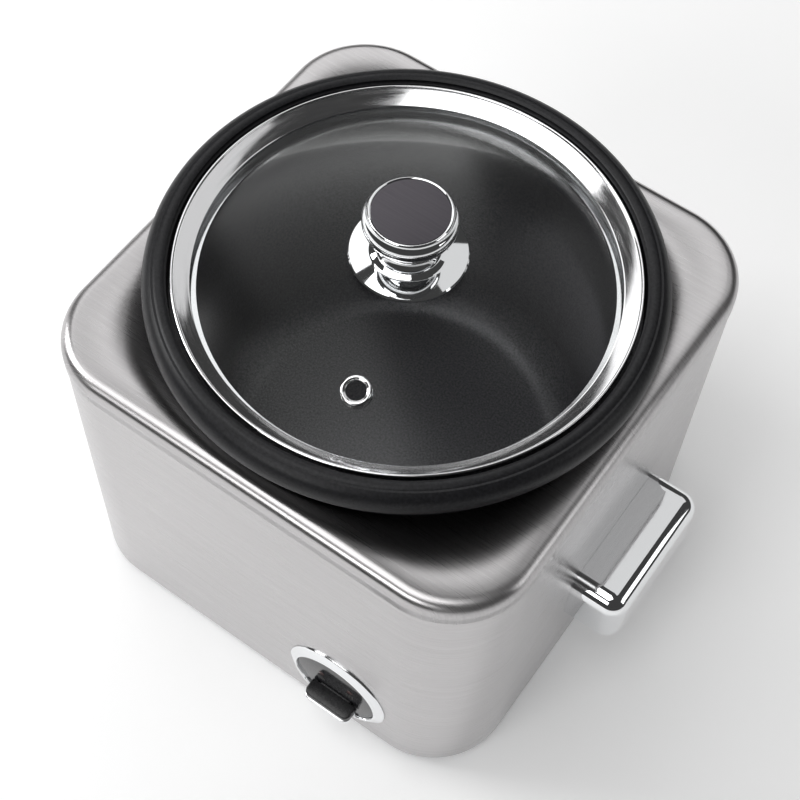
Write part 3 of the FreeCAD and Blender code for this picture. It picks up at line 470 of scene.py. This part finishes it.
head = turned(
    [(BORE, low[2])] + waist + bend(HEAD - 0.0062, top - 0.0066, 0.0062, -80, 48, 12)
    + [(0.0196, top - 0.0007, 0.0004), (0.0189, top, 0.0003), (0.0182, top - 0.0003), (0.0181, top - 0.0012),
       (BORE, top - 0.0012)], steps=128)
settle("knob_head", head, chrome, "lid", ["knob"])
satin = shader("satin_inlay", (0.19, 0.185, 0.20), 0.6, 0.38)
grain(satin, (40, 1800, 40), 2, (0.066, 0.060, 0.070), (0.078, 0.072, 0.082), "Base Color")
disc = turned([(0, top - 0.0012), (0.018, top - 0.0012), (0.018, top - 0.0004, 0.0002), (0, top - 0.0003)],
              closed=False, steps=96)
settle("knob_inlay", disc, satin, "lid", ["knob_disc"])

# --- Handles ------------------------------------------------------------------------------
# Two chromed block grips with fat rounded edges. Each is hollowed from below for the
# fingertips and screwed on from inside the wrap.
EDGE_ROUND = 0.0095
for name, way in (("handle_right", 1), ("handle_left", -1)):
    low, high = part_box(name)
    grip = block(low, high)
    far = high[0] if way > 0 else low[0]
    wall = low[0] if way > 0 else high[0]
    soften(grip, lambda e: upright(e) and abs(e.verts[0].co.x - far) < 1e-5, EDGE_ROUND + 0.0005, 16)
    soften(grip, lambda e: min(v.co.z for v in e.verts) > high[2] - 1e-5
           and not all(abs(v.co.x - wall) < 1e-5 for v in e.verts), EDGE_ROUND, 16)
    soften(grip, lambda e: max(v.co.z for v in e.verts) < low[2] + 1e-5
           and not all(abs(v.co.x - wall) < 1e-5 for v in e.verts), 0.0015, 4)
    handle = settle(name + "_grip", grip, chrome, "housing", [name], limit=40)
    inside = sorted((wall + way * 0.0055, far - way * 0.0045))
    hollow = block((inside[0], low[1] + 0.010, low[2] - 0.01), (inside[1], high[1] - 0.010, low[2] + 0.024))
    soften(hollow, lambda e: True, 0.003, 4)
    cut(handle, hollow, name + "_hollow")

# --- Switch bezel and panel ---------------------------------------------------------------
# A chrome ring pushed through the wrap that rises to a gloss black panel, which is cut for
# the lever. Two small raised signs, a bowl and three bars, stand for cook and warm.
front = Matrix.Translation(SWITCH) @ Matrix.Rotation(math.pi / 2, 4, "X")
PANEL = 0.0018
bezel = turned([
    (0.0242, -0.008), (0.0254, -0.008), (0.0254, 0.0001), (0.030, 0.0001), (0.030, 0.0006, 0.0003),
    (0.0293, 0.0011), (0.0262, 0.0026), (0.0254, 0.0030, 0.0004), (0.0246, 0.0030, 0.0003),
    (0.0243, 0.0016)], steps=128)
settle("switch_bezel_ring", bezel, chrome, "housing", ["switch_bezel"], matrix=front)
gloss = shader("gloss_panel", (0.02, 0.02, 0.022), 0.0, 0.12)
grain(gloss, (300, 300, 300), 2, 0.08, 0.16, "Roughness")
face = turned([(0, -0.0046), (0.0242, -0.0046), (0.0242, PANEL, 0.0003), (0, PANEL)], closed=False, steps=96)
panel = settle("switch_panel_face", face, gloss, "housing", ["switch_panel"], matrix=front)
slot_box = block((SWITCH.x - 0.011, SWITCH.y - 0.01, 0.0258), (SWITCH.x + 0.011, SWITCH.y + 0.02, 0.0375))
cut(panel, slot_box, "lever_slot")
smoked = shader("smoked_lens", (0.05, 0.02, 0.018), 0.0, 0.15)
grain(smoked, (500, 500, 500), 2, 0.1, 0.2, "Roughness")
sign = shader("sign_grey", (0.05, 0.05, 0.05), 0.0, 0.45)
grain(sign, (600, 600, 600), 2, 0.4, 0.5, "Roughness")
for side, label in ((-1, "cook"), (1, "warm")):
    lens_dot = turned([(0, PANEL - 0.001), (0.0018, PANEL - 0.001), (0.0018, PANEL + 0.0002, 0.0002),
                       (0, PANEL + 0.0004)], closed=False, steps=32)
    settle("lens_" + label, lens_dot, smoked, "housing", ["indicator_lenses"],
           matrix=front @ Matrix.Translation((side * 0.009, 0.006, 0)))
    if side < 0:
        mark = turned([(0, PANEL - 0.0004), (0.0026, PANEL - 0.0004), (0.0026, PANEL + 0.0003),
                       (0, PANEL + 0.0003)], closed=False, steps=32)
        bmesh.ops.scale(mark, vec=(1, 0.55, 1), verts=mark.verts)
        bmesh.ops.translate(mark, vec=(-0.009, 0.0008, 0), verts=mark.verts)
        settle("sign_" + label, mark, sign, "housing", None, matrix=front)
        continue
    for bar in (-1, 0, 1):
        mark = block((0.009 + bar * 0.0017 - 0.0005, -0.0008, PANEL - 0.0004),
                     (0.009 + bar * 0.0017 + 0.0005, 0.0024, PANEL + 0.0003))
        settle("sign_%s_%d" % (label, bar + 1), mark, sign, "housing", None, matrix=front)

# --- Lever paddle -------------------------------------------------------------------------
# A satin black moulding that the finger presses down, with a chromed strip round its lip.
black = shader("satin_black", (0.012, 0.012, 0.013), 0.0, 0.28)
grain(black, (500, 500, 500), 2, 0.22, 0.34, "Roughness")
low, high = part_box("paddle")
tab = block((low[0], low[1] + 0.0008, low[2] + 0.0012), (high[0], SWITCH.y - 0.0022, high[2]))
soften(tab, lambda e: upright(e) and e.verts[0].co.y < low[1] + 0.001, 0.0035, 6)
soften(tab, lambda e: abs(e.verts[0].co.z - e.verts[1].co.z) < 1e-6, 0.0008, 3)
settle("paddle_pad", tab, black, "cook_lever", [], limit=50)
stem = block((SWITCH.x - 0.0095, SWITCH.y - 0.004, 0.032), (SWITCH.x + 0.0095, high[1], 0.036))
soften(stem, lambda e: True, 0.0005, 2)
settle("paddle_stem", stem, black, "cook_lever", ["paddle"])
lip = block((low[0] - 0.0002, low[1], low[2] - 0.001), (high[0] + 0.0002, SWITCH.y - 0.0030, low[2] + 0.0022))
soften(lip, lambda e: upright(e) and e.verts[0].co.y < low[1] + 0.001, 0.0042, 8)
soften(lip, lambda e: abs(e.verts[0].co.z - e.verts[1].co.z) < 1e-6, 0.0006, 3)
settle("paddle_lip", lip, chrome, "cook_lever", ["paddle_trim"], limit=50)

# --- Hidden and inner parts ---------------------------------------------------------------
# Pressed, turned and moulded parts that keep their own shape and get their real finish.
zinc = shader("zinc_plate", (0.52, 0.53, 0.55), 0.9, 0.38)
grain(zinc, (200, 200, 200), 3, (0.44, 0.45, 0.47), (0.60, 0.61, 0.63), "Base Color")
liner = shader("aluminised_sheet", (0.55, 0.55, 0.57), 0.9, 0.42)
grain(liner, (90, 90, 90), 4, (0.48, 0.48, 0.50), (0.62, 0.62, 0.64), "Base Color")
cast = shader("turned_aluminium", (0.66, 0.66, 0.67), 1.0, 0.32)
grain(cast, (300, 300, 300), 3, 0.26, 0.42, "Roughness")
plastic = shader("matte_black", (0.022, 0.022, 0.024), 0.0, 0.5)
grain(plastic, (900, 900, 900), 2, 0.3, 0.0003, "Normal")
brass = shader("plain_brass", (0.70, 0.52, 0.25), 1.0, 0.28)
grain(brass, (400, 400, 400), 2, 0.22, 0.36, "Roughness")
dark_iron = shader("sintered_iron", (0.08, 0.08, 0.085), 0.3, 0.6)
grain(dark_iron, (900, 900, 900), 2, 0.4, 0.0003, "Normal")
mica = shader("mica_sheath", (0.50, 0.42, 0.31), 0.0, 0.45)
grain(mica, (60, 60, 300), 3, (0.42, 0.35, 0.25), (0.58, 0.50, 0.38), "Base Color")
ceramic = shader("glazed_ceramic", (0.80, 0.78, 0.73), 0.0, 0.25)
grain(ceramic, (200, 200, 200), 3, 0.2, 0.35, "Roughness")
sleeve = shader("silicone_sleeve", (0.45, 0.43, 0.40), 0.0, 0.55)
grain(sleeve, (900, 900, 900), 2, 0.2, 0.0002, "Normal")
board = shader("lamp_board_green", (0.03, 0.12, 0.05), 0.0, 0.4)
grain(board, (300, 300, 300), 2, (0.025, 0.10, 0.04), (0.04, 0.15, 0.06), "Base Color")
bulb = shader("neon_bulb", (0.80, 0.62, 0.50), 0.0, 0.1)
grain(bulb, (500, 500, 500), 2, 0.08, 0.16, "Roughness")
FINISH = {
    "zinc_steel": zinc, "liner_steel": liner, "cast_aluminium": cast, "rubber": rubber,
    "black_plastic": plastic, "brass": brass, "ferrite": dark_iron, "mica": mica, "ceramic": ceramic,
    "wire": sleeve, "board": board, "lens": smoked, "lamp": bulb, "brushed_housing": steel_side,
    "chrome": chrome, "polished_steel": polished, "satin_dark": satin, "rim_black": pebble,
    "nonstick": coat, "lid_glass": pane, "panel_gloss": gloss, "paddle_black": black,
}
for entry in frame["record"]["subparts"]:
    node = frame["nodes"][entry["node"]]
    node.data.materials.clear()
    node.data.materials.append(FINISH[entry["material_slot"]])
